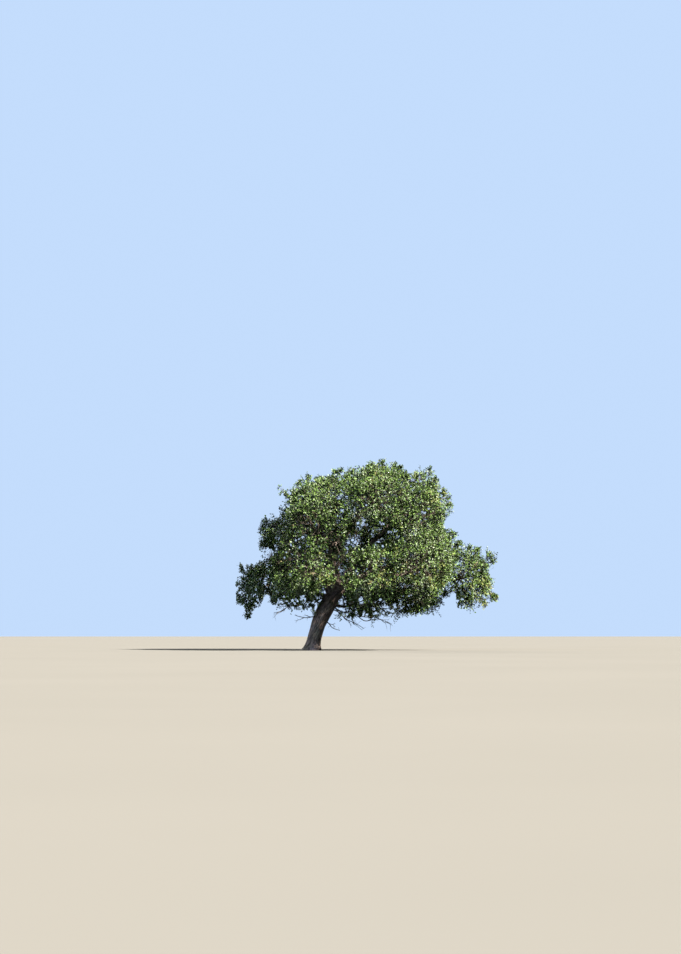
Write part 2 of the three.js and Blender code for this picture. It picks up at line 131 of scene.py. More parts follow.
# Bare dead branches under the crown: the limb that each leaves, how far along, its tip, and how many fork
# from it.
BARE_BRANCHES = {
    "bare_left": ("trunk", 0.53, (-0.8, -0.4, 1.55), 2),
    "bare_left_low": ("left_low", 0.45, (-1.72, -0.75, 1.66), 3),
    "bare_right": ("trunk", 0.45, (1.2, -0.4, 0.88), 1),
    "bare_middle": ("middle_low", 0.5, (3.5, -0.7, 1.16), 3),
    "bare_middle_low": ("middle_low", 0.2, (2.25, -0.5, 0.98), 2),
}
# The shape of a bare branch, its forks and its twigs: where they leave, how far they turn aside and reach,
# as a share of the branch, and their radii at the foot and the tip.
BARE = Values(
    radius=0.03, tip_share=0.35, crook=0.08, follows=0.3, turns_at=0.62, rises=-0.06, step=0.45,
    collar=0.1, seed=61,
)
BARE_FORK = Values(
    start=0.42, over=0.5, share=0.34, spread=0.7, steps=7, crook=0.04, radii=(0.018, 0.0054), sides=6,
)
BARE_TWIG = Values(
    count=3, start=0.35, at=(0.25, 0.98), share=0.17, varies=(0.5, 1.2), spread=0.9, steps=5, crook=0.06,
    radii=(0.0081, 0.00243), sides=4,
)

# Bark, in metres: furrows that run along a limb, bend and crack between plates, wide lumps, a collar where a
# limb leaves its parent, and how finely the surface is divided.
BARK = Values(
    furrow_apart=0.06, furrow_long=0.3, furrow_width=0.3, furrow_depth=0.02, deepest_share=0.1,
    bend=(0.5, 0.5, 0.9), bend_scale=0.7, bend_shift=31.0, crack=0.35, crack_scale=2.3, plate_level=0.8,
    lump=0.05, lump_long=0.45, lump_scale=1.3, lump_shift=7.0, collar=0.45, collar_long=0.22, column=0.03,
    row=0.07, fewest_columns=10, most_columns=36, fewest_rows=4, first_seed=20, seed_step=5,
)
# A strip of the map that fills a square: its free edge and its height, and a triangle for the end caps.
STRIP = Values(edge=0.02, height=0.93, cap=[(0.1, 0.97), (0.12, 0.97), (0.11, 0.985)])

# Clumps: how many go with a mass's surface, their radius, how far in from the edge their middles lie, and
# how full they are by how openly they stand.
CLUMP = Values(
    per_square=1.75, radius=0.44, radius_varies=0.22, scatter=0.1, inset=(0.85, 1.35), cut_inset=0.2,
    nearest=0.1, inner_share=0.3, inner_at=0.5, melting=2.5, looks=1.5, steps=40, open_at=0.95,
    open_ways=48, full_when=0.34, least=0.22, tuft_weight=0.65, own_way=0.6, lift=0.02,
)
# The wood inside a mass: its stem, the arms that leave the stem, and a branch to each clump. The radii of
# the stem and the arms are shares of the radius of the bough's tip.
STEM = Values(sunk=0.05, bends_at=0.67, steps=9, radii=(0.95, 0.5), sides=8)
ARMS = Values(
    per_clump=0.2, fewest=4, reach=0.5, leave_at=(0.35, 0.95), steps=6, crook=0.05, radii=(0.5, 0.225),
    sides=5,
)
BRANCH = Values(leave_at=(0.45, 0.95), steps=6, crook=0.05, radii=(0.016, 0.007), sides=4)
# How thin wood bends: how long it follows the way it sets out, and where it turns.
BEND = Values(follows=0.35, turns_at=0.7, rises=0.06)
CROWN_SEED = 101

# Sprays: a twig with leaves on its outer part. A few, the sprigs, reach out beyond their clump.
SPRAY = Values(
    count=19500, fewest=2, leaves=13, leaves_from=0.3, leave_at=(0.75, 1.0), outward=0.75, strays=0.25,
    reach=(0.72, 1.08), sprig_share=0.07, sprig_reach=1.55, droop=0.12, radii=(0.0055, 0.0055), sides=3,
)
LEAF = Values(
    length=0.082, varies=0.25, lean=(0.55, 1.25), strays=0.25, tumble=1.0, faces_up=0.75, faces_out=0.55,
    own_shade=0.8,
)
# How far UP is moved at random, so that no twig is parallel to it.
NOT_PARALLEL = 0.01
# The right half of a leaf's outline, and its tip, as shares of its length: across, along and up.
LEAF_EDGE, LEAF_TIP = [(0.22, 0.3, 0.05), (0.24, 0.66, 0.05)], (0.0, 1.0, -0.06)
# How far leaves and twigs may pass the model's box, as a share of its size and more, and how low they come.
REACH = Values(share=0.02, more=0.005, lowest=0.3)

# Tufts that make the crown's corners: by mass, the middle and the radius of each.
TUFTS = {
    "shoulder_left": [
        (-1.4, -0.2, 7.15, 0.2), (-1.15, -0.2, 7.0, 0.2), (-0.2, -0.3, 7.62, 0.22),
        (-0.55, -0.3, 7.4, 0.22),
    ],
    "top_left": [(0.95, 0.0, 7.9, 0.2), (1.2, 0.0, 7.95, 0.22), (1.75, 0.0, 7.95, 0.22)],
    "top_centre": [
        (2.6, 0.0, 8.25, 0.24), (3.1, -0.1, 8.32, 0.26), (3.65, 0.0, 8.22, 0.24), (3.9, 0.0, 8.1, 0.2),
        (4.15, 0.0, 7.8, 0.2),
    ],
    "top_right": [
        (5.2, 0.1, 7.98, 0.26), (5.45, 0.1, 7.6, 0.22), (5.8, 0.0, 7.05, 0.24), (5.95, 0.0, 6.8, 0.28),
        (6.08, 0.1, 6.5, 0.22), (5.75, 0.0, 5.95, 0.2),
    ],
    "left_middle": [(-2.1, 0.1, 5.74, 0.26), (-2.25, 0.1, 5.4, 0.24), (-2.2, 0.1, 4.75, 0.28)],
    "left_arm": [
        (-3.14, 0.0, 3.65, 0.26), (-3.3, 0.0, 2.45, 0.26), (-3.35, 0.0, 2.85, 0.2),
        (-2.55, 0.0, 2.3, 0.22),
    ],
    "left_tail": [(-2.88, 0.1, 1.58, 0.15)],
    "left_low": [
        (0.0, -0.35, 1.85, 0.26), (-1.55, -0.2, 2.1, 0.22), (0.15, -0.4, 2.15, 0.24),
        (-0.1, -0.35, 2.05, 0.2), (-1.75, -0.2, 2.3, 0.18), (-1.15, -0.2, 2.1, 0.24),
        (-0.75, -0.3, 2.05, 0.25), (-0.4, -0.3, 2.0, 0.22),
    ],
    "centre": [
        (2.75, -0.1, 5.25, 0.3), (3.2, -0.1, 5.1, 0.3), (2.3, -0.1, 5.2, 0.26), (3.2, -0.1, 4.75, 0.22),
        (1.95, 0.8, 5.3, 0.38), (1.75, 0.7, 5.75, 0.3), (2.5, 0.8, 4.95, 0.34), (3.35, 0.8, 4.9, 0.28),
        (2.3, 0.8, 5.3, 0.3),
    ],
    "middle_low": [
        (1.22, -0.3, 1.65, 0.26), (1.75, -0.3, 1.6, 0.26), (2.3, -0.3, 1.7, 0.24), (2.7, -0.3, 1.65, 0.26),
    ],
    "right_low": [(4.15, 0.0, 1.9, 0.28), (5.85, 0.0, 2.6, 0.2)],
    "right_shoulder": [(6.2, 0.0, 5.15, 0.26), (6.5, 0.0, 4.75, 0.2)],
    "right_arm": [
        (7.0, 0.0, 4.5, 0.24), (7.35, 0.0, 4.4, 0.26), (7.85, 0.0, 4.2, 0.28), (8.0, 0.0, 4.0, 0.2),
        (7.95, 0.0, 2.45, 0.26), (8.15, 0.0, 2.4, 0.15), (7.6, 0.0, 2.15, 0.25), (6.75, 0.0, 2.35, 0.26),
        (6.55, 0.0, 2.05, 0.18),
    ],
}

# Where specks of sky show through the crown, seen from the front: X, Z, half sizes and the open share.
SKY_GAPS = [
    (2.2, 5.76, 0.25, 0.22, 0.14), (3.02, 5.66, 0.14, 0.13, 0.2), (3.45, 5.31, 0.1, 0.08, 0.3),
    (1.68, 4.7, 0.3, 0.24, 0.12), (3.0, 4.8, 0.3, 0.3, 0.03), (-0.6, 4.83, 0.52, 0.26, 0.12),
    (-1.2, 4.32, 0.35, 0.26, 0.05), (5.1, 6.2, 0.3, 0.13, 0.2), (5.05, 5.8, 0.1, 0.06, 0.3),
    (4.63, 7.64, 0.22, 0.18, 0.25), (2.4, 6.72, 0.07, 0.07, 0.3), (-2.06, 3.08, 0.2, 0.23, 0.22),
    (-2.6, 2.46, 0.22, 0.42, 0.1), (-3.07, 3.7, 0.3, 0.17, 0.15), (1.16, 3.05, 0.1, 0.27, 0.7),
    (-0.72, 2.1, 1.0, 0.36, 0.14), (1.42, 1.85, 0.5, 0.4, 0.1), (2.75, 2.1, 0.3, 0.3, 0.06),
    (3.5, 1.95, 0.33, 0.37, 0.16), (4.15, 1.95, 0.35, 0.36, 0.02), (4.35, 2.4, 0.14, 0.14, 0.1),
    (6.7, 2.1, 0.38, 0.25, 0.05), (7.47, 3.58, 0.06, 0.05, 0.4), (2.4, 1.6, 0.9, 0.25, 0.1),
    (-3.4, 2.6, 0.15, 0.5, 0.1), (-2.05, 4.32, 0.26, 0.2, 0.65), (-1.2, 7.2, 0.35, 0.3, 0.35),
]
# Wide gaps, and notches in the crown's outline: X, Z and half sizes.
NOTCHES = [
    (2.35, 5.6, 0.11, 0.05), (2.12, 2.2, 0.1, 0.24), (4.35, 8.1, 0.2, 0.16), (6.05, 5.62, 0.22, 0.2),
    (6.25, 2.42, 0.15, 0.2), (6.1, 1.9, 0.33, 0.42), (-2.1, 2.3, 0.14, 0.24), (-2.03, 1.8, 0.36, 0.32),
    (-2.45, 1.5, 0.3, 0.3), (-3.3, 1.7, 0.25, 0.32), (0.6, 8.02, 0.22, 0.17), (-1.05, 7.5, 0.1, 0.2),
    (-1.6, 6.15, 0.12, 0.2), (-2.65, 4.08, 0.28, 0.2), (2.3, 1.33, 0.4, 0.13), (3.25, 1.33, 0.35, 0.12),
    (7.98, 3.5, 0.13, 0.14), (-0.3, 1.62, 0.22, 0.2), (4.9, 1.2, 1.0, 0.34),
]
# The radii of specks, how far leaves reach into them, the grid that marks them and how ragged notches are.
SPECK = Values(radius=(0.03, 0.055), leaf_reach=0.02, cell=0.01, margin=0.5, ragged=0.35, lump=0.12, seed=3)

# Where the front sprays are missing and limbs and dark leaves show: X, Z, half sizes and the share left.
HOLLOWS = [
    (2.5, 5.2, 0.5, 0.3, 0.7), (1.03, 4.2, 0.33, 0.9, 0.2), (-0.65, 5.85, 0.6, 0.3, 0.25),
    (-0.7, 4.75, 0.55, 0.35, 0.35), (0.95, 2.6, 0.5, 0.42, 0.03), (4.25, 2.8, 0.6, 0.17, 0.0),
    (5.2, 6.0, 0.6, 0.35, 0.45), (2.2, 5.6, 0.5, 0.3, 0.35),
]
# Hollows reach back to this depth, and fade at their edge, in shares of their half sizes.
HOLLOW = Values(depth=0.6, edge=0.75, fades_over=0.6)
# The crown's profile from the side is rounded above this height, by an oval of these half sizes in Y and Z.
SIDE_ROUND = Values(middle=(0.1, 3.6), half=(4.35, 5.0), power=2.3)
# The crown thins out towards its underside, between these heights, down to this share of its sprays.
THIN_BELOW = Values(top=2.6, bottom=1.7, left=0.7)

# Where painted shade makes leaves darker and painted light makes them lighter, seen from the front: X, Z,
# half sizes and the share of the leaves that are. Then where a spot ends and over what it fades, and by how
# many greens leaves change.
PAINTED_SHADE_SPOTS = [
    (0.95, 4.6, 0.75, 0.6, 1.0), (0.7, 5.5, 0.8, 0.5, 0.85), (-0.6, 5.8, 0.45, 0.4, 1.0),
    (-1.6, 4.1, 0.75, 0.6, 0.95), (0.1, 6.4, 1.2, 0.45, 0.5), (1.9, 6.4, 0.6, 0.35, 0.5),
    (3.3, 2.4, 0.7, 0.55, 0.95), (3.4, 3.4, 0.7, 0.4, 0.65), (1.9, 3.3, 0.7, 0.35, 0.4),
    (-0.4, 3.3, 0.7, 0.3, 0.4), (2.2, 4.6, 0.7, 0.35, 0.5), (-0.5, 4.6, 0.9, 0.5, 0.45),
    (5.1, 2.0, 0.6, 0.4, 0.8), (1.3, 3.8, 0.45, 0.45, 1.0), (4.2, 7.2, 1.1, 0.6, 0.3),
    (5.7, 2.7, 0.4, 0.3, 0.3), (2.9, 5.15, 0.7, 0.4, 0.4), (7.4, 3.7, 0.6, 0.6, 0.2),
    (5.4, 6.1, 0.7, 0.5, 0.35), (6.2, 3.7, 0.4, 0.5, 0.3), (3.6, 6.4, 0.8, 0.3, 0.3),
    (-1.0, 5.2, 0.6, 0.4, 0.5), (1.6, 7.0, 0.7, 0.3, 0.35), (3.8, 4.0, 0.4, 0.3, 0.3),
]
# Painted light: leaves in these spots take lighter greens where the crown is lit.
PAINTED_LIGHT_SPOTS = [
    (4.4, 3.9, 0.35, 0.35, 0.6), (2.3, 5.95, 0.6, 0.35, 1.0), (-2.3, 2.6, 0.9, 0.6, 0.8),
    (5.0, 2.7, 0.5, 0.4, 0.8), (4.5, 5.3, 0.4, 0.4, 0.4), (-1.9, 5.8, 0.4, 0.4, 1.0),
    (2.5, 3.9, 0.35, 0.3, 0.4), (2.4, 2.4, 0.6, 0.6, 0.6), (-0.6, 2.6, 0.4, 0.3, 0.6),
    (-3.1, 2.0, 0.4, 0.5, 0.8),
]
SPOT_END, SPOT_FADES_OVER = 1.35, 0.7
PAINTED_SHADE_STEPS, PAINTED_LIGHT_STEPS = 3, 2

# Where sprays turn yellow, seen from the front: X, Z, radius and the share that do, and the share elsewhere.
YELLOW_SPOTS = [
    (5.9, 7.0, 0.8, 0.4), (0.75, 3.15, 0.6, 0.4), (5.4, 3.15, 0.7, 0.4), (7.8, 2.6, 0.8, 0.45),
    (0.1, 3.4, 0.9, 0.14), (3.6, 3.5, 1.0, 0.25), (2.9, 7.9, 0.9, 0.15),
]
STRAY_YELLOW = 0.015
# The share of each green and of each yellow, in the order of their materials.
GREEN_SHARES = [0.25, 0.16, 0.2, 0.21, 0.11, 0.07]
YELLOW_SHARES = [0.78, 0.17, 0.05]


def unit(v):
    return v / np.linalg.norm(v, axis=-1, keepdims=True)


def hashed(turns):
    """Numbers from 0 to 1 that look random and are the same each time."""
    x = np.sin(turns) * HASH_SCALE
    return x - np.floor(x)


def seeded(seed, i):
    return hashed(seed * HASH_TURNS[0] + i * HASH_TURNS[1])


def smoothstep(t):
    u = np.clip(t, 0, 1)
    return u * u * (3 - 2 * u)


def even_directions(count, seed):
    """Even directions on a sphere, turned by the seed."""
    i = np.arange(count)
    z = 1 - 2 * (i + 0.5) / count
    flat = np.sqrt(1 - z * z)
    turn = i * GOLDEN_ANGLE + seed
    return np.stack([flat * np.cos(turn), flat * np.sin(turn), z], -1)


def even_turns(count):
    return np.linspace(0, 2 * np.pi, count, endpoint=False)


def noise(points, seed):
    """Smooth noise from -1 to 1, with one lump for each unit of length."""
    cell = np.floor(points)
    part = smoothstep(points - cell)
    total = np.zeros(points.shape[:-1])
    for corner in itertools.product((0, 1), repeat=3):
        weight = np.prod(np.where(corner, part, 1 - part), axis=-1)
        total += weight * hashed((cell + corner) @ HASH_TURNS + seed)
    return 2 * total - 1


class Way:
    """A smooth way through space, measured by the share of its length."""

    def __init__(self, points):
        steps = np.linalg.norm(np.diff(points, axis=0), axis=1)
        self.points = points
        self.length = steps.sum()
        self.shares = np.concatenate([[0], np.cumsum(steps)]) / self.length

    def point(self, t):
        return np.stack([np.interp(t, self.shares, self.points[:, k]) for k in range(3)], -1)

    def tangent(self, t):
        before, after = np.maximum(t - TANGENT_STEP, 0), np.minimum(t + TANGENT_STEP, 1)
        return unit(self.point(after) - self.point(before))


def bezier(corners, t):
    """Points on cubic curves: corners is four arrays of points, and t is the shares along them."""
    a, b, c, d = (np.asarray(corner)[..., None, :] for corner in corners)
    t = np.asarray(t)[..., None]
    return a * (1 - t) ** 3 + 3 * b * t * (1 - t) ** 2 + 3 * c * t**2 * (1 - t) + d * t**3


def smooth_through(points, per_span=24):
    """A centripetal Catmull-Rom curve through the points, as many short straight steps."""
    around = np.concatenate([[2 * points[0] - points[1]], points, [2 * points[-1] - points[-2]]])
    t = np.linspace(0, 1, per_span, endpoint=False)[:, None]
    spans = []
    for p0, p1, p2, p3 in zip(around, around[1:], around[2:], around[3:]):
        d0, d1, d2 = (np.sqrt(np.linalg.norm(b - a)) for a, b in ((p0, p1), (p1, p2), (p2, p3)))
        m1 = ((p1 - p0) / d0 - (p2 - p0) / (d0 + d1) + (p2 - p1) / d1) * d1
        m2 = ((p2 - p1) / d1 - (p3 - p1) / (d1 + d2) + (p3 - p2) / d2) * d1
        curve = p1 + m1 * t + (3 * (p2 - p1) - 2 * m1 - m2) * t**2 + (2 * (p1 - p2) + m1 + m2) * t**3
        spans.append(curve)
    return np.concatenate([*spans, [points[-1]]])


def crooked_way(start, end, leaving, how, seed):
    """A crooked way from one point to another, which starts out along the limb that it leaves."""
    length = np.linalg.norm(end - start)
    turn = start + (end - start) * how.turns_at + UP * how.rises * length
    corners = (start, start + leaving * how.follows * length, turn, end)
    smooth = Way(bezier(corners, FINE_SHARES))
    steps = max(FEWEST_SWINGS, int(np.floor(length / how.step + 0.5)))
    i = np.arange(steps + 1)
    swing = how.crook * length * np.sin(np.pi * i / steps)
    side = np.stack([seeded(seed, i + shift) - 0.5 for shift in AXIS_SHIFTS], -1)
    return Way(smooth_through(smooth.point(i / steps) + side * 2 * swing[:, None]))


def trunk_middle(t):
    return np.stack([TRUNK.lean * t + TRUNK.bow * t * t, 0 * t, TRUNK.height * t], -1)


def trunk_radius(t, turn=0.0):
    foot = np.exp(-t * TRUNK.height / TRUNK.flare_height)
    root = np.cos(TRUNK.roots * (turn + TRUNK.root_turn))
    flare = (TRUNK.flare + TRUNK.root * root) * foot
    start, end = TRUNK.swells
    swelling = TRUNK.swelling * smoothstep((t - start) / (end - start))
    rounding = 1 - (1 - TRUNK.top_share) * smoothstep((t - TRUNK.rounds) / (1 - TRUNK.rounds))
    return (TRUNK.waist + flare + swelling) * rounding


class Space:
    """The space that a mass keeps to: an ellipsoid, cut off by a plane between it and each neighbour."""

    def __init__(self, name):
        middle, half = (np.array(v) for v in MASSES[name][:2])
        self.middle, self.half, self.size = middle, half, half.mean()
        ways, limits = [], []
        for other, (at, other_half, *_) in MASSES.items():
            if other == name:
                continue
            gap = np.array(at) - middle
            distance = np.linalg.norm(gap)
            way = gap / distance
            mine = np.linalg.norm(way * half)
            theirs = np.linalg.norm(way * np.array(other_half))
            if mine + theirs > distance:
                ways.append(way)
                limits.append(distance * mine / (mine + theirs) - ROOM_GAP / 2)
        self.cut_ways, self.cut_limits = np.array(ways), np.array(limits)

    def to_cuts(self, offset, ways):
        """How far it is to the nearest plane each way, from a point at this offset from the middle."""
        speed = ways @ self.cut_ways.T
        left = self.cut_limits - offset @ self.cut_ways.T
        return np.where(speed > TINY, left / np.maximum(speed, TINY), np.inf).min(-1)

    def room(self, point, ways):
        """How far it is from a point in the space to its edge, each way."""
        offset = point - self.middle
        scaled, step = offset / self.half, ways / self.half
        a = (step * step).sum(-1)
        b = (scaled * step).sum(-1)
        c = (scaled * scaled).sum(-1) - 1
        room = (-b + np.sqrt(np.maximum(0, b * b - a * c))) / a
        return np.maximum(0, np.minimum(room, self.to_cuts(offset, ways)))


SPACES = {name: Space(name) for name in MASSES}


def foot_square(name):
    """The square of a bough's radius at its foot: that of its tip, and of all that it carries."""
    carried = [other for other in MASSES if MASSES[other][2] == name]
    return (BOUGH.tip_share * SPACES[name].size) ** 2 + sum(foot_square(other) for other in carried)


def tapering(foot, tip):
    """A function that gives a bough's radius along it."""

    def radius_at(t):
        return foot + (tip - foot) * t ** BOUGH.taper_power

    return radius_at


def bough_of(name, limbs, seed):
    """The limb that carries a mass: it leaves its parent and ends where it enters the mass."""
    _, _, parent, along = MASSES[name]
    parent_way, parent_radius = limbs[parent]
    start = parent_way.point(along)
    space = SPACES[name]
    back = unit(start - space.middle)
    end = space.middle + back * BOUGH.enters_at * space.room(space.middle, back)
    leaving = unit(parent_way.tangent(along) + unit(end - start))
    foot = min(np.sqrt(foot_square(name)), BOUGH.foot_share * parent_radius(along))
    return crooked_way(start, end, leaving, BOUGH, seed), tapering(foot, BOUGH.tip_share * space.size)


def grow_limbs():
    """The way and the radius of the trunk and of each bough, by name."""
    limbs = {"trunk": (Way(trunk_middle(FINE_SHARES)), trunk_radius)}
    for i, name in enumerate(MASSES):
        limbs[name] = bough_of(name, limbs, i + 1)
    return limbs


LIMBS = grow_limbs()


def node_link(tree, kind, values, links):
    """A new shader node with some values set and some inputs linked."""
    made = tree.nodes.new("ShaderNode" + kind)
    for key, value in values.items():
        if isinstance(key, str) and hasattr(made, key):
            setattr(made, key, value)
        else:
            made.inputs[key].default_value = value
    for key, output in links.items():
        tree.links.new(output, made.inputs[key])
    return made


def plain_material(name, colour, roughness, specular):
    material = bpy.data.materials.new(name)
    material.use_nodes = True
    shader = material.node_tree.nodes["Principled BSDF"]
    shader.inputs["Base Color"].default_value = (*colour, 1)
    shader.inputs["Roughness"].default_value = roughness
    shader.inputs["Specular IOR Level"].default_value = specular
    return material


def bark_material(name, dark, middle, light, grain):
    """Bark in streaks along the limb, with painted shade that darkens its furrows, and a fine grain."""
    material = plain_material(name, middle, 0.9, 0.25)
    tree = material.node_tree
    shader = tree.nodes["Principled BSDF"]
    place = node_link(tree, "UVMap", {"uv_map": "Along"}, {}).outputs["UV"]
    stretch = node_link(tree, "Mapping", {"Scale": (1, 0.22, 1)}, {"Vector": place})
    fine = {"Scale": grain, "Detail": 8, "Roughness": 0.65}
    streaks = node_link(tree, "TexNoise", fine, {"Vector": stretch.outputs["Vector"]})
    ramp = node_link(tree, "ValToRGB", {}, {"Fac": streaks.outputs["Fac"]})
    stops = ramp.color_ramp.elements
    stops[0].position, stops[1].position = 0.3, 0.75
    stops[0].color, stops[1].color = (*dark, 1), (*light, 1)
    stops.new(0.5).color = (*middle, 1)
    patches = node_link(tree, "TexNoise", {"Scale": 2.5, "Detail": 3}, {"Vector": place})
    patchy = node_link(
        tree, "Mix", {"data_type": "RGBA", "blend_type": "MULTIPLY", MIX.share: 0.35},
        {MIX.first: ramp.outputs["Color"], MIX.second: patches.outputs["Color"]},
    )
    # Painted shade: the furrow mask darkens the bark's colour in its furrows.
    furrow = node_link(tree, "Attribute", {"attribute_name": "furrow"}, {})
    painted_furrow_shade = node_link(tree, "MapRange", {"To Min": 0.3, "To Max": 1.0}, {"Value": furrow.outputs["Fac"]})
    shaded = node_link(
        tree, "VectorMath", {"operation": "SCALE"},
        {"Vector": patchy.outputs[MIX.result], "Scale": painted_furrow_shade.outputs["Result"]},
    )
    tree.links.new(shaded.outputs["Vector"], shader.inputs["Base Color"])
    relief = {"Strength": 0.6, "Distance": 0.004}
    bump = node_link(tree, "Bump", relief, {"Height": streaks.outputs["Fac"]})
    tree.links.new(bump.outputs["Normal"], shader.inputs["Normal"])
    rough = node_link(tree, "MapRange", {"To Min": 0.8, "To Max": 0.97}, {"Value": streaks.outputs["Fac"]})
    tree.links.new(rough.outputs["Result"], shader.inputs["Roughness"])
    return material


GREENS = [
    plain_material(name, colour, 0.55, specular)
    for name, colour, specular in (
        # Painted shade: near-black leaves that stand in for the dark gaps between leaves.
        ("leaf_painted_shade", (0.005, 0.011, 0.003), 0.05),
        ("leaf_dark", (0.025, 0.048, 0.010), 0.1),
        ("leaf_mid", (0.055, 0.097, 0.017), 0.15),
        ("leaf_fresh", (0.092, 0.143, 0.034), 0.2),
        # Partly painted sheen: paler leaves whose colour also holds a painted bluish sky reflection.
        ("leaf_grey_and_sheen", (0.122, 0.154, 0.090), 0.25),
        ("leaf_pale_and_sheen", (0.160, 0.190, 0.124), 0.25),
    )
]
YELLOWS = [
    plain_material("leaf_olive", (0.118, 0.132, 0.036), 0.6, 0.25),
    plain_material("leaf_gold", (0.118, 0.102, 0.042), 0.6, 0.2),
    plain_material("leaf_tan", (0.125, 0.092, 0.055), 0.7, 0.2),
]
LEAF_MATERIALS = [*GREENS, *YELLOWS]
BRANCH_MATERIAL = plain_material("branch_bark", (0.07, 0.057, 0.044), 0.9, 0.2)
TWIG_MATERIAL = plain_material("twig_bark", (0.048, 0.038, 0.030), 0.9, 0.2)
DEAD_TWIG_MATERIAL = plain_material("dead_twig", (0.11, 0.09, 0.075), 0.92, 0.2)
BARK_MATERIAL = bark_material("bark", (0.075, 0.054, 0.044), (0.23, 0.172, 0.142), (0.49, 0.385, 0.32), 22)
DEAD_MATERIAL = bark_material("dead_bark", (0.05, 0.04, 0.032), (0.12, 0.095, 0.078), (0.24, 0.2, 0.17), 40)


def mesh_piece(name, vertices, triangles, materials, slots=None):
    """A new object from arrays: vertices, triangles and the number of each triangle's material."""
    mesh = bpy.data.meshes.new(name)
    mesh.vertices.add(len(vertices))
    mesh.vertices.foreach_set("co", np.asarray(vertices, np.float32).ravel())
    mesh.loops.add(3 * len(triangles))
    mesh.loops.foreach_set("vertex_index", np.asarray(triangles, np.int32).ravel())
    mesh.polygons.add(len(triangles))
    mesh.polygons.foreach_set("loop_start", np.arange(0, 3 * len(triangles), 3, dtype=np.int32))
    if slots is not None:
        mesh.polygons.foreach_set("material_index", np.asarray(slots, np.int32))
    mesh.polygons.foreach_set("use_smooth", np.full(len(triangles), True))
    for material in materials:
        mesh.materials.append(material)
    mesh.update(calc_edges=True)
    mesh.validate()
    piece = bpy.data.objects.new(name, mesh)
    bpy.context.scene.collection.objects.link(piece)
    return piece


def stand_for(piece, slot, *nodes):
    """Says what a piece rides on and the nodes that it replaces; its slot is not used."""
    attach(piece, "root")
    if nodes:
        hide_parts(*nodes)


def ring_frames(points):
    """Two directions square to a way at each of its points, carried along it without twisting."""
    tangents = unit(np.gradient(points, axis=0))
    first = np.cross(UP if abs(tangents[0, 2]) < STEEP else SIDEWAYS, tangents[0])
    normals = [unit(first)]
    for tangent in tangents[1:]:
        carried = normals[-1] - tangent * (normals[-1] @ tangent)
        normals.append(unit(carried))
    normals = np.array(normals)
    return normals, np.cross(tangents, normals)


def furrowed(turns, lengths, radii, seed):
    """How far bark stands out and how open its furrows are: 1 on a plate and 0 in a furrow."""
    around = radii / BARK.furrow_apart
    place = np.stack([np.cos(turns) * around, np.sin(turns) * around, lengths / BARK.furrow_long], -1)
    bends = noise(place * BARK.bend_scale + BARK.bend_shift, seed)
    bent = place + bends[..., None] * np.array(BARK.bend)
    ridges = noise(bent, seed + 1) + BARK.crack * noise(BARK.crack_scale * place, seed + 2)
    plate = smoothstep(np.abs(ridges) / BARK.furrow_width)
    depth = np.minimum(BARK.furrow_depth, BARK.deepest_share * radii)
    lump_place = np.stack([np.cos(turns), np.sin(turns), lengths / BARK.lump_long], -1)
    lumps = BARK.lump * radii * noise(lump_place * BARK.lump_scale + BARK.lump_shift, seed + 3)
    return depth * (plate - BARK.plate_level) + lumps, plate


def wall_triangles(columns, rows):
    """The triangles between the rings of a tube."""
    row, column = np.meshgrid(np.arange(rows), np.arange(columns), indexing="ij")
    a, b = row * columns + column, row * columns + (column + 1) % columns
    return np.stack([a, b, b + columns, a, b + columns, a + columns], -1).reshape(-1, 3)


def tube_triangles(columns, rows):
    """The triangles of a closed tube of rings, with a middle vertex at each end."""
    foot, tip = (rows + 1) * columns, (rows + 1) * columns + 1
    c = np.arange(columns)
    after = (c + 1) % columns
    foot_cap = np.stack([after, c, np.full(columns, foot)], -1)
    last = rows * columns
    tip_cap = np.stack([last + c, last + after, np.full(columns, tip)], -1)
    return np.concatenate([wall_triangles(columns, rows), foot_cap, tip_cap])


def strip_map(columns, rows, girth, length):
    """Two maps of a tube's corners: its own metres, and strips side by side that fill a square."""
    strips = max(1, int(round(np.sqrt(length / girth))))
    row, column = np.meshgrid(np.arange(rows), np.arange(columns), indexing="ij")
    corners = [(0, 0), (1, 0), (1, 1), (0, 0), (1, 1), (0, 1)]
    u = np.stack([(column + du) / columns for du, _ in corners], -1)
    v = np.stack([(row + dv) / rows for _, dv in corners], -1)
    along = np.stack([u * girth, v * length], -1).reshape(-1, 2)
    strip = np.minimum(strips - 1, np.floor((row + 0.5) / rows * strips))[..., None]
    across = (strip + STRIP.edge + (1 - 2 * STRIP.edge) * u) / strips
    up = STRIP.edge + STRIP.height * np.clip(v * strips - strip, 0, 1)
    packed = np.stack([across, up], -1).reshape(-1, 2)
    caps = np.tile(STRIP.cap, (2 * columns, 1))
    return np.concatenate([along, caps * girth]), np.concatenate([packed, caps])


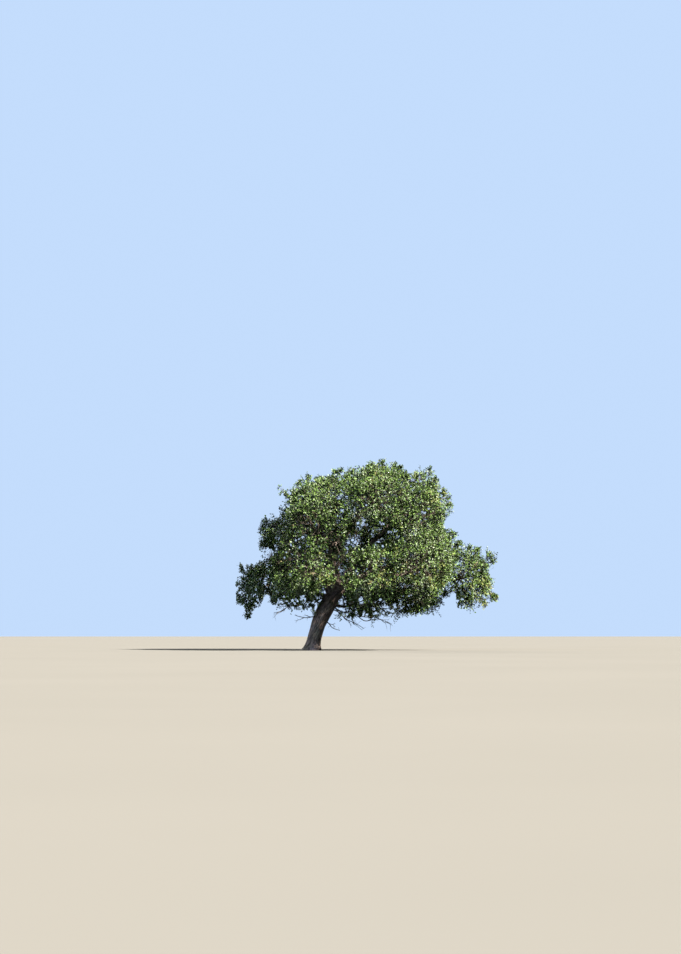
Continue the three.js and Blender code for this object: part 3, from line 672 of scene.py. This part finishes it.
def barked_tube(name, middles, normals, others, radii, lengths, material, seed):
    """A limb whose surface has the bark's relief, from its radius at each row and column."""
    rows, columns = len(middles) - 1, radii.shape[1]
    turns = even_turns(columns)[None, :]
    out, plate = furrowed(*np.broadcast_arrays(turns, lengths[:, None], radii), seed)
    ring = np.cos(turns)[..., None] * normals[:, None] + np.sin(turns)[..., None] * others[:, None]
    surface = middles[:, None] + ring * (radii + out)[..., None]
    vertices = np.concatenate([surface.reshape(-1, 3), middles[[0, -1]]])
    piece = mesh_piece(name, vertices, tube_triangles(columns, rows), [material])
    along, packed = strip_map(columns, rows, 2 * np.pi * radii.mean(), lengths[-1])
    for layer, places in (("OFBake", packed), ("Along", along)):
        piece.data.uv_layers.new(name=layer).data.foreach_set("uv", places.astype(np.float32).ravel())
    # The furrow mask that the bark's painted shade reads: 1 on a plate and 0 in a furrow.
    furrow = piece.data.attributes.new("furrow", "FLOAT", "POINT")
    furrow.data.foreach_set("value", np.append(plate.ravel(), [1, 1]).astype(np.float32))
    return piece


def make_trunk():
    t = np.linspace(0, 1, TRUNK.rows + 1)
    level = np.tile(SIDEWAYS, (len(t), 1)), np.tile(BACKWARD, (len(t), 1))
    radii = trunk_radius(t[:, None], even_turns(TRUNK.columns))
    lengths = t * TRUNK.height
    piece = barked_tube("trunk_bark", trunk_middle(t), *level, radii, lengths, BARK_MATERIAL, TRUNK.seed)
    stand_for(piece, "bark", "trunk")


def limb_tube(name, way, radius_at, collar, material, seed):
    """A round limb along its way, wider where it leaves its parent."""
    rows = max(BARK.fewest_rows, int(way.length / BARK.row))
    t = np.linspace(0, 1, rows + 1)
    middles, lengths = way.point(t), t * way.length
    wider = 1 + BARK.collar * np.exp(-np.maximum(0, lengths - collar) / BARK.collar_long)
    radii = radius_at(t) * wider
    around = 2 * np.pi * np.median(radii) / BARK.column
    columns = int(np.clip(around, BARK.fewest_columns, BARK.most_columns))
    radii = np.repeat(radii[:, None], columns, axis=1)
    return barked_tube(name, middles, *ring_frames(middles), radii, lengths, material, seed)


def make_boughs():
    for i, (name, (_, _, parent, along)) in enumerate(MASSES.items()):
        way, radius_at = LIMBS[name]
        inside_parent = LIMBS[parent][1](along)
        seed = BARK.first_seed + BARK.seed_step * i
        piece = limb_tube(f"{name}_limb", way, radius_at, inside_parent, BARK_MATERIAL, seed)
        stand_for(piece, "bark", f"{name}_bough")


def join_arrays(parts):
    """Several pairs of vertices and triangles as one pair."""
    shifts = np.cumsum([0, *[len(vertices) for vertices, _ in parts[:-1]]])
    vertices = np.concatenate([part[0] for part in parts])
    triangles = np.concatenate([part[1] + shift for part, shift in zip(parts, shifts)])
    return vertices, triangles


def pointed_tubes(points, foot, tip, sides):
    """Thin tubes that end in a point, along an array of ways, whose radius goes from foot to tip."""
    count, steps = points.shape[:2]
    tangents = unit(np.gradient(points, axis=1))
    chord = unit(points[:, -1] - points[:, 0])
    across = np.where(np.abs(chord[:, 2:]) < STEEP, UP, SIDEWAYS)
    normals = unit(np.cross(across[:, None], tangents))
    others = np.cross(tangents, normals)
    turns = even_turns(sides)[:, None]
    ring = normals[:, :-1, None] * np.cos(turns) + others[:, :-1, None] * np.sin(turns)
    radii = np.linspace(foot, tip, steps)[:-1, None, None]
    rings = points[:, :-1, None] + ring * radii
    each = (steps - 1) * sides + 1
    vertices = np.concatenate([rings.reshape(count, -1, 3), points[:, -1:]], axis=1)
    c, last = np.arange(sides), (steps - 2) * sides
    ends = np.stack([last + c, last + (c + 1) % sides, np.full(sides, each - 1)], -1)
    one = np.concatenate([wall_triangles(sides, steps - 2), ends])
    triangles = (one[None] + each * np.arange(count)[:, None, None]).reshape(-1, 3)
    return vertices.reshape(-1, 3), triangles


def bent_ways(roots, tips, leaving, how, rng):
    """Curved ways from roots to tips that set out along the ways given, and wander a little."""
    length = np.linalg.norm(tips - roots, axis=1, keepdims=True)
    turn = roots + (tips - roots) * BEND.turns_at + UP * length * BEND.rises
    corners = (roots, roots + leaving * length * BEND.follows, turn, tips)
    t = np.linspace(0, 1, how.steps)
    points = bezier(corners, t)
    swing = (how.crook * length * np.sin(np.pi * t))[..., None]
    return points + swing * rng.normal(size=points.shape)


def bare_radius(t):
    return BARE.radius * (1 - (1 - BARE.tip_share) * t)


def bare_forks(main, length, count, seed, rng):
    """Forks along the outer part of a bare branch."""
    at = BARE_FORK.start + BARE_FORK.over * np.arange(count) / count
    roots = main.point(at)
    ways = unit(main.tangent(at) + even_directions(count, seed) * BARE_FORK.spread)
    return bent_ways(roots, roots + ways * BARE_FORK.share * length, ways, BARE_FORK, rng)


def bare_twigs(stem, shares, length, rng):
    """Fine twigs at some shares along a stem of a bare branch."""
    stem_way = Way(stem)
    roots = stem_way.point(shares)
    ways = unit(stem_way.tangent(shares) + BARE_TWIG.spread * rng.normal(size=(len(shares), 3)))
    reach = BARE_TWIG.share * length * rng.uniform(*BARE_TWIG.varies, (len(shares), 1))
    return bent_ways(roots, roots + ways * reach, ways, BARE_TWIG, rng)


def make_bare_branches():
    """Dead branches with forks, and finer twigs on both."""
    for i, (name, (parent, along, tip, fork_count)) in enumerate(BARE_BRANCHES.items()):
        seed = BARE.seed + i
        rng = np.random.default_rng(seed)
        start, end = LIMBS[parent][0].point(along), np.array(tip)
        length = np.linalg.norm(end - start)
        main = crooked_way(start, end, unit(end - start), BARE, seed)
        piece = limb_tube(name + "_wood", main, bare_radius, BARE.collar, DEAD_MATERIAL, seed)
        stand_for(piece, "dead_wood", name)
        forks = bare_forks(main, length, fork_count, seed, rng)
        parts = [pointed_tubes(forks, *BARE_FORK.radii, BARE_FORK.sides)]
        outer = main.point(np.linspace(BARE_TWIG.start, 1, BARE_FORK.steps))
        stems = np.concatenate([forks, outer[None]])
        picks = rng.uniform(*BARE_TWIG.at, (len(stems), BARE_TWIG.count))
        for stem, shares in zip(stems, picks):
            twigs = bare_twigs(stem, shares, length, rng)
            parts.append(pointed_tubes(twigs, *BARE_TWIG.radii, BARE_TWIG.sides))
        twig_piece = mesh_piece(name + "_twigs", *join_arrays(parts), [DEAD_TWIG_MATERIAL])
        stand_for(twig_piece, "dead_wood")


def in_crown(points):
    """True inside the crown: the masses' ellipsoids, which melt together where they meet."""
    middles = np.array([space.middle for space in SPACES.values()])
    halves = np.array([space.half for space in SPACES.values()])
    scaled = (points[..., None, :] - middles) / halves
    return np.exp(CLUMP.melting * (1 - (scaled**2).sum(-1))).sum(-1) > 1


def openness(points):
    """The share of the ways from each point that soon leave the crown, and their mean way."""
    ways = even_directions(CLUMP.open_ways, 0)
    free = ~in_crown(points[:, None] + ways * CLUMP.open_at)
    mean = (ways * free[..., None]).sum(1) / np.maximum(1, free.sum(1))[:, None]
    return free.mean(1), mean


def reach_to_edge(space, ways):
    """How far it is from the middle of a mass to the edge of the crown, each way."""
    distances = np.linspace(0, CLUMP.looks * space.half.max(), CLUMP.steps)
    inside = in_crown(space.middle + ways[:, None] * distances[:, None])
    return distances[np.where(inside.all(1), -1, inside.argmin(1) - 1)]


def clumps_of(name, seed):
    """A mass's clumps, in an outer layer just inside its edge and an inner one, and its tufts.

    Gives their middles, their radii, the share of sprays that each has and the way out of the crown.
    """
    space = SPACES[name]
    rng = np.random.default_rng(seed)
    outer = int(round(CLUMP.per_square * 4 * np.pi * space.size**2))
    inner = int(round(outer * CLUMP.inner_share))
    layers = []
    for count, at in ((outer, 1.0), (inner, CLUMP.inner_at)):
        ways = unit(even_directions(count, seed + at) + rng.normal(scale=CLUMP.scatter, size=(count, 3)))
        radii = CLUMP.radius * (1 + CLUMP.radius_varies * rng.uniform(-1, 1, count))
        inside_edge = reach_to_edge(space, ways) - radii * rng.uniform(*CLUMP.inset, count)
        inside_cuts = space.to_cuts(np.zeros(3), ways) - radii * CLUMP.cut_inset
        distance = at * np.maximum(CLUMP.nearest, np.minimum(inside_edge, inside_cuts))
        layers.append((space.middle + ways * distance[:, None], radii))
    tufts = np.array(TUFTS.get(name, [])).reshape(-1, 4)
    layers.append((tufts[:, :3], tufts[:, 3]))
    middles, radii = (np.concatenate(parts) for parts in zip(*layers))
    free, mean = openness(middles)
    weight = np.clip(free / CLUMP.full_when, CLUMP.least, 1) * (radii / CLUMP.radius) ** 2
    weight[len(weight) - len(tufts):] = CLUMP.tuft_weight
    outward = unit(CLUMP.own_way * unit(middles - space.middle) + mean + CLUMP.lift * UP)
    return middles, radii, weight, outward


def as_seen(points):
    """Where points show on the upright plane through the trunk, seen from the front."""
    eye = np.array(CAMERA.at)
    share = -eye[1] / (points[:, 1] - eye[1])
    seen = eye + (points - eye) * share[:, None]
    return seen[:, 0], seen[:, 2]


def away_from(spot, x, z):
    """How far places are from the middle of an oval spot, as a share of its half sizes."""
    spot_x, spot_z, half_x, half_z = spot
    return np.hypot((x - spot_x) / half_x, (z - spot_z) / half_z)


def sky_grids():
    """Two grids over the tree, seen from the front: where its notches are, and where any sky shows."""
    low, high = (np.array(corner)[[0, 2]] - side * SPECK.margin for corner, side in zip(CAD_BOX, (1, -1)))
    x, z = (np.arange(a, b, SPECK.cell) for a, b in zip(low, high))
    place = np.stack(np.broadcast_arrays(x[:, None], 0.0, z[None, :]), -1)
    edge = 1 + SPECK.ragged * noise(place / SPECK.lump, SPECK.seed)
    notched = np.zeros(edge.shape, bool)
    for spot in NOTCHES:
        notched |= away_from(spot, x[:, None], z[None, :]) < edge
    shows = notched.copy()
    rng = np.random.default_rng(SPECK.seed)
    least, most = SPECK.radius
    for spot_x, spot_z, half_x, half_z, share in SKY_GAPS:
        area = np.pi * half_x * half_z
        count = int(np.ceil(-np.log(1 - share) * area / (np.pi * ((least + most) / 2) ** 2)))
        turn, out = rng.uniform(0, 2 * np.pi, count), np.sqrt(rng.random(count))
        middles_x, middles_z = spot_x + half_x * out * np.cos(turn), spot_z + half_z * out * np.sin(turn)
        radii = rng.uniform(least, most, count) + SPECK.leaf_reach
        for middle_x, middle_z, radius in zip(middles_x, middles_z, radii):
            near_x, near_z = np.abs(x - middle_x) < radius, np.abs(z - middle_z) < radius
            away = np.hypot(x[near_x, None] - middle_x, z[None, near_z] - middle_z)
            shows[np.ix_(near_x, near_z)] |= away < radius
    return low, notched, shows


def in_grid(grid, low, points):
    """True for the points that show in a marked cell of the grid."""
    x, z = as_seen(points.reshape(-1, 3))
    cells = np.floor((np.stack([x, z]) - low[:, None]) / SPECK.cell).astype(int)
    cells = np.clip(cells, 0, np.array(grid.shape)[:, None] - 1)
    return grid[cells[0], cells[1]].reshape(points.shape[:-1])


GRID_FOOT, NOTCHED, SKY_SHOWS = sky_grids()


def left_in_hollows(points, rng):
    """True for the sprays that are left in the hollows and along the crown's underside."""
    x, z = as_seen(points)
    low = smoothstep((THIN_BELOW.top - points[:, 2]) / (THIN_BELOW.top - THIN_BELOW.bottom))
    chance = 1 - (1 - THIN_BELOW.left) * low
    behind = points[:, 1] > HOLLOW.depth
    for *spot, left in HOLLOWS:
        here = left + (1 - left) * smoothstep((away_from(spot, x, z) - HOLLOW.edge) / HOLLOW.fades_over)
        chance = np.minimum(chance, np.where(behind, 1, here))
    return rng.random(len(points)) < chance


def in_side_round(points):
    """True for points inside the crown's rounded profile, seen from the side."""
    middle, half = SIDE_ROUND.middle, SIDE_ROUND.half
    out = np.abs(points[:, 1] - middle[0]) / half[0]
    up = np.maximum(0, points[:, 2] - middle[1]) / half[1]
    return (points[:, 2] < middle[1]) | (out ** SIDE_ROUND.power + up ** SIDE_ROUND.power < 1)


def in_box(points):
    """True for points within the reach that leaves may have."""
    low, high = (np.array(corner) for corner in CAD_BOX)
    slack = REACH.share * (high - low) + REACH.more
    return ((points > low - slack) & (points < high + slack)).all(-1) & (points[..., 2] > REACH.lowest)


def share_at(spots, x, z):
    """The greatest share of the spots that reach each place."""
    shares = np.zeros(x.shape)
    for *spot, share in spots:
        fading = smoothstep((SPOT_END - away_from(spot, x, z)) / SPOT_FADES_OVER)
        shares = np.maximum(shares, share * fading)
    return shares


def leaf_slots(tips, rng):
    """The number of each leaf's material: mixed greens, darker by painted shade or lighter by painted light
    by place, and yellow sprays.
    """
    x, z = as_seen(tips)
    chance = np.full(len(tips), STRAY_YELLOW)
    for spot_x, spot_z, radius, share in YELLOW_SPOTS:
        near = np.exp(-(((x - spot_x) ** 2 + (z - spot_z) ** 2) / radius**2) * 2)
        chance = np.maximum(chance, share * near)
    leaves, greens = (len(tips), SPRAY.leaves), len(GREENS)
    of_spray = rng.choice(greens, len(tips), p=GREEN_SHARES)[:, None]
    own = rng.random(leaves) < LEAF.own_shade
    green = np.where(own, rng.choice(greens, leaves, p=GREEN_SHARES), of_spray)
    # Painted shade: leaves in the shade spots take darker greens.
    painted_shade = rng.random(leaves) < share_at(PAINTED_SHADE_SPOTS, x, z)[:, None]
    # Painted light: leaves in the lit spots take lighter greens.
    painted_light = rng.random(leaves) < share_at(PAINTED_LIGHT_SPOTS, x, z)[:, None]
    painted_lit_green = np.where(painted_light, np.minimum(green + PAINTED_LIGHT_STEPS, greens - 1), green)
    green = np.where(painted_shade, np.maximum(green - PAINTED_SHADE_STEPS, 0), painted_lit_green)
    yellow = greens + rng.choice(len(YELLOWS), len(tips), p=YELLOW_SHARES)[:, None]
    turned = rng.random(len(tips))[:, None] < chance[:, None]
    return np.where(turned, yellow, green).ravel()


def leaf_shape():
    """An oval leaf of four triangles from its base to its tip: vertices as across, along and up."""
    right = np.array(LEAF_EDGE)
    left = right * [-1, 1, 1]
    vertices = np.concatenate([[(0, 0, 0)], right, left, [LEAF_TIP]])
    triangles = [(0, 1, 3), (3, 1, 2), (3, 2, 4), (4, 2, 5)]
    return vertices, np.array(triangles)


def leaves_on(twigs, outward, rng):
    """Leaves set round the outer part of each twig: the vertices of each, and one leaf's triangles."""
    count, each = len(twigs), SPRAY.leaves
    share = np.linspace(SPRAY.leaves_from, 1, each)[:, None]
    roots = twigs[:, :1] * (1 - share) + twigs[:, 1:] * share
    tip_way = unit(twigs[:, 1] - twigs[:, 0])
    spin = np.arange(each) * GOLDEN_ANGLE + rng.uniform(0, 2 * np.pi, (count, 1))
    side = unit(np.cross(tip_way, UP + NOT_PARALLEL * rng.normal(size=(count, 3))))
    other = np.cross(tip_way, side)
    around = np.cos(spin)[..., None] * side[:, None] + np.sin(spin)[..., None] * other[:, None]
    lean = rng.uniform(*LEAF.lean, (count, each, 1))
    strays = LEAF.strays * rng.normal(size=roots.shape)
    along = unit(tip_way[:, None] * np.cos(lean) + around * np.sin(lean) + strays)
    tumble = LEAF.tumble * rng.normal(size=roots.shape)
    across = unit(np.cross(along, UP * LEAF.faces_up + outward[:, None] * LEAF.faces_out + tumble))
    normal = np.cross(across, along)
    length = LEAF.length * (1 + LEAF.varies * rng.uniform(-1, 1, (count, each)))
    shape, fan = leaf_shape()
    axes = np.stack([across, along, normal], -2).reshape(-1, 3, 3)
    vertices = roots.reshape(-1, 1, 3) + np.einsum("vk,nkj->nvj", shape, axes) * length.reshape(-1, 1, 1)
    return vertices, fan


def grow_stem(name):
    """The stem of a mass, which carries its bough on and bends towards the middle of the mass."""
    bough = LIMBS[name][0]
    tangent, start = bough.tangent(1.0), bough.point(1.0)
    end = start + (SPACES[name].middle - start) * BOUGH.stem_share
    bend = start + tangent * np.linalg.norm(end - start) / 2
    turns = start + (bend - start) * STEM.bends_at, end + (bend - end) * STEM.bends_at
    corners = (start - STEM.sunk * tangent, *turns, end)
    return bezier(corners, np.linspace(0, 1, STEM.steps)), unit(end - start)


def grow_arms(space, stem, stem_way, count, seed, rng):
    """Arms that leave the stem of a mass and spread evenly through it, and the way that each points."""
    ways = even_directions(count, seed)
    reach = space.room(space.middle, ways)[:, None] * ARMS.reach
    roots = Way(stem).point(rng.uniform(*ARMS.leave_at, count))
    return ways, bent_ways(roots, space.middle + ways * reach, unit(ways + stem_way), ARMS, rng)


def grow_branches(space, arm_ways, arms, middles, outward, rng):
    """Branches to the middle of each clump, each from the arm that points its way."""
    host = (unit(middles - space.middle) @ arm_ways.T).argmax(1)
    at = rng.uniform(*BRANCH.leave_at, len(middles)) * (arms.shape[1] - 1)
    before = np.floor(at).astype(int)
    part = (at - before)[:, None]
    roots = arms[host, before] * (1 - part) + arms[host, before + 1] * part
    host_way = unit(arms[host, -1] - arms[host, 0])
    return bent_ways(roots, middles, unit(host_way + outward), BRANCH, rng)


def grow_twigs(clumps, roots, sprays_per_weight, seed, rng):
    """A straight twig for each spray, from the branch of its clump, and the way out of the crown there."""
    middles, radii, weight, outward = clumps
    counts = np.maximum(SPRAY.fewest, np.round(weight * sprays_per_weight)).astype(int)
    clump = np.repeat(np.arange(len(middles)), counts)
    ways = np.concatenate([even_directions(count, seed + k) for k, count in enumerate(counts)])
    ways = unit(ways + SPRAY.outward * outward[clump] + SPRAY.strays * rng.normal(size=ways.shape))
    lengths = radii[clump] * rng.uniform(*SPRAY.reach, len(clump))
    lengths *= np.where(rng.random(len(clump)) < SPRAY.sprig_share, SPRAY.sprig_reach, 1)
    leaves_at = rng.uniform(*SPRAY.leave_at, len(clump))[:, None]
    feet = roots[clump] + (middles[clump] - roots[clump]) * leaves_at
    tips = middles[clump] + ways * lengths[:, None]
    tips[:, 2] -= SPRAY.droop * lengths * np.maximum(0, 1 - ways[:, 2])
    good = in_box(tips) & left_in_hollows(tips, rng) & ~in_grid(NOTCHED, GRID_FOOT, tips)
    good &= in_side_round(tips)
    return np.stack([feet[good], tips[good]], 1), outward[clump[good]]


def make_leaves(name, twigs, outward, rng):
    leaves, fan = leaves_on(twigs, outward, rng)
    kept = in_box(leaves).all(1) & ~in_grid(SKY_SHOWS, GRID_FOOT, leaves.mean(1))
    slots = leaf_slots(twigs[:, -1], rng)[kept]
    leaves = leaves[kept]
    shift = leaves.shape[1] * np.arange(len(leaves))
    triangles = (fan[None] + shift[:, None, None]).reshape(-1, 3)
    slots = np.repeat(slots, len(fan))
    foliage = mesh_piece(name + "_leaves", leaves.reshape(-1, 3), triangles, LEAF_MATERIALS, slots)
    stand_for(foliage, "leaves", f"{name}_foliage")


def grow_mass(name, sprays_per_weight, seed):
    """A mass of foliage: one piece of leaves, and one of the wood that grows on from the bough's tip."""
    rng = np.random.default_rng(seed)
    space, tip_radius = SPACES[name], LIMBS[name][1](1.0)
    clumps = clumps_of(name, seed)
    middles, _, _, outward = clumps
    stem, stem_way = grow_stem(name)
    arm_count = max(ARMS.fewest, int(round(ARMS.per_clump * len(middles))))
    arm_ways, arms = grow_arms(space, stem, stem_way, arm_count, seed, rng)
    branches = grow_branches(space, arm_ways, arms, middles, outward, rng)
    twigs, twig_outward = grow_twigs(clumps, branches[:, 0], sprays_per_weight, seed, rng)
    make_leaves(name, twigs, twig_outward, rng)
    coarse = join_arrays([
        pointed_tubes(stem[None], *(tip_radius * np.array(STEM.radii)), STEM.sides),
        pointed_tubes(arms, *(tip_radius * np.array(ARMS.radii)), ARMS.sides),
        pointed_tubes(branches, *BRANCH.radii, BRANCH.sides),
    ])
    fine = pointed_tubes(twigs, *SPRAY.radii, SPRAY.sides)
    slots = np.repeat([0, 1], [len(coarse[1]), len(fine[1])])
    wood = join_arrays([coarse, fine])
    twig_piece = mesh_piece(name + "_twigs", *wood, [BRANCH_MATERIAL, TWIG_MATERIAL], slots)
    stand_for(twig_piece, "bark")


def make_crown():
    seeds = {name: CROWN_SEED + i for i, name in enumerate(MASSES)}
    total = sum(clumps_of(name, seed)[2].sum() for name, seed in seeds.items())
    for name, seed in seeds.items():
        grow_mass(name, SPRAY.count / total, seed)


def floor_material():
    first, last = FLOOR_COLOURS
    material = plain_material("floor", first, 1.0, 0.0)
    tree = material.node_tree
    place = node_link(tree, "TexCoord", {}, {})
    noisy = {"Scale": FLOOR.mottle, "Detail": 4}
    mottle = node_link(tree, "TexNoise", noisy, {"Vector": place.outputs["Object"]})
    ramp = node_link(tree, "ValToRGB", {}, {"Fac": mottle.outputs["Fac"]})
    ramp.color_ramp.elements[0].color = (*first, 1)
    ramp.color_ramp.elements[1].color = (*last, 1)
    tree.links.new(ramp.outputs["Color"], tree.nodes["Principled BSDF"].inputs["Base Color"])
    return material


def make_floor():
    half = FLOOR.half
    vertices = [(-half, -half, 0), (half, -half, 0), (half, half, 0), (-half, half, 0)]
    floor = mesh_piece("floor", vertices, [(0, 1, 2), (0, 2, 3)], [floor_material()])
    floor.location.z = -FLOOR.below
    floor.visible_diffuse = False


def make_camera():
    data = bpy.data.cameras.new("camera")
    data.lens, data.sensor_width, data.clip_end = CAMERA.lens, CAMERA.sensor, CAMERA.far
    camera = bpy.data.objects.new("camera", data)
    camera.location = CAMERA.at
    aim = Vector(CAMERA.aims_at) - camera.location
    camera.rotation_euler = aim.to_track_quat("-Z", "Y").to_euler()
    bpy.context.scene.collection.objects.link(camera)
    bpy.context.scene.camera = camera


def make_lights():
    for name, (energy, angle, colour, shines) in LIGHTS.items():
        data = bpy.data.lights.new(name, "SUN")
        data.energy, data.angle, data.color = energy, np.radians(angle), colour
        light = bpy.data.objects.new(name, data)
        light.rotation_euler = Vector(shines).to_track_quat("-Z", "Y").to_euler()
        bpy.context.scene.collection.objects.link(light)


def make_sky():
    """A pale sky that the camera sees, and a weaker one that lights the tree."""
    world = bpy.data.worlds.new("sky")
    world.use_nodes = True
    tree = world.node_tree
    rays = node_link(tree, "LightPath", {}, {})
    colours = {"data_type": "RGBA", MIX.first: SKY.lights, MIX.second: SKY.shows}
    colour = node_link(tree, "Mix", colours, {MIX.share: rays.outputs["Is Camera Ray"]})
    tree.links.new(colour.outputs[MIX.result], tree.nodes["Background"].inputs["Color"])
    bpy.context.scene.world = world
    bpy.context.scene.view_settings.view_transform = "Standard"


make_camera()
make_lights()
make_sky()
make_floor()
make_trunk()
make_boughs()
make_bare_branches()
make_crown()
